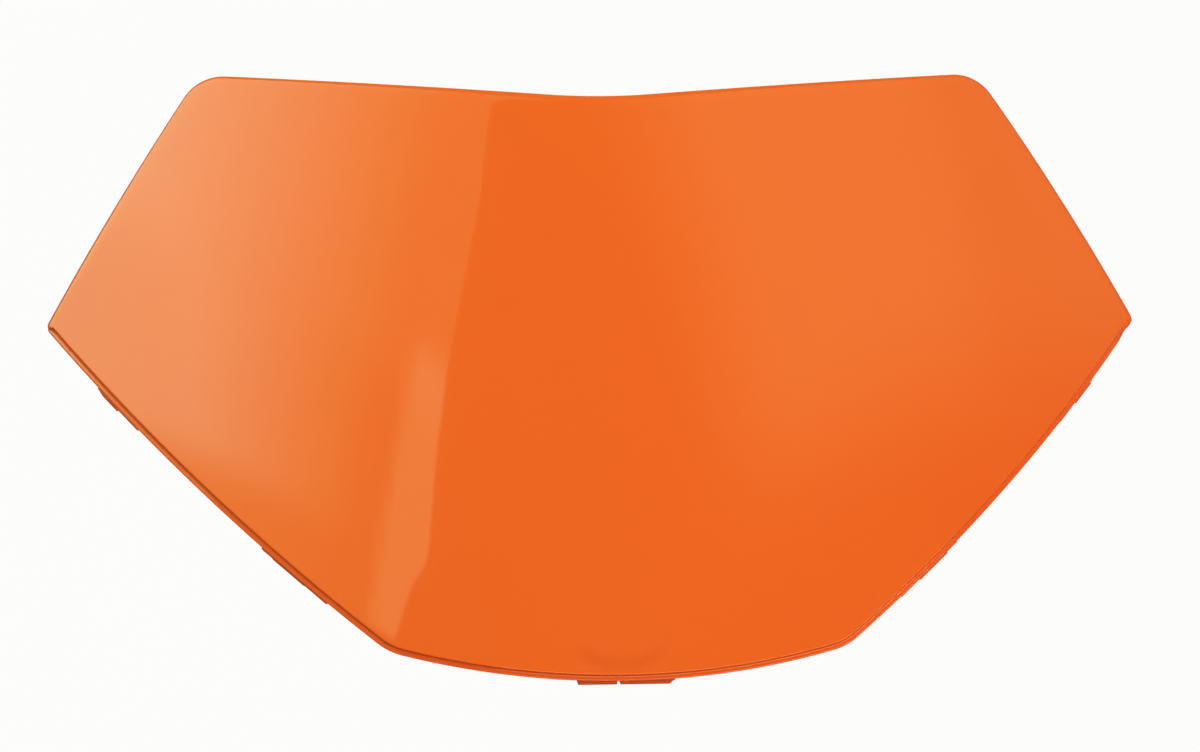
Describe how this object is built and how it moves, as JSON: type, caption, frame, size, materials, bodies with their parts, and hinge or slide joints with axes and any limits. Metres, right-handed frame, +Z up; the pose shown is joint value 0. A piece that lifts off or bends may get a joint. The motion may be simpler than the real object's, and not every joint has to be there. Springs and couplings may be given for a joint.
{
  "type": "headlight number plate",
  "caption": "Curved, tapered number plate that clips into a motorbike headlight mask, with a turned-back rim, a stepped lower flange and snap clips along its lower edges.",
  "frame": {"origin": "bottom of the face on the plate's centre line, where the bottom clip holds the plate", "axes": "+Z up, -Y out of the face, +X to the right of a viewer in front; the plate leans back as fitted on the bike"},
  "size_m": [0.2492, 0.0778, 0.1364],
  "materials": {
    "orange_plastic": "glossy moulded polypropylene, coloured through"
  },
  "bodies": {
    "root": {"number_plate": "orange_plastic"}
  },
  "joints": []
}
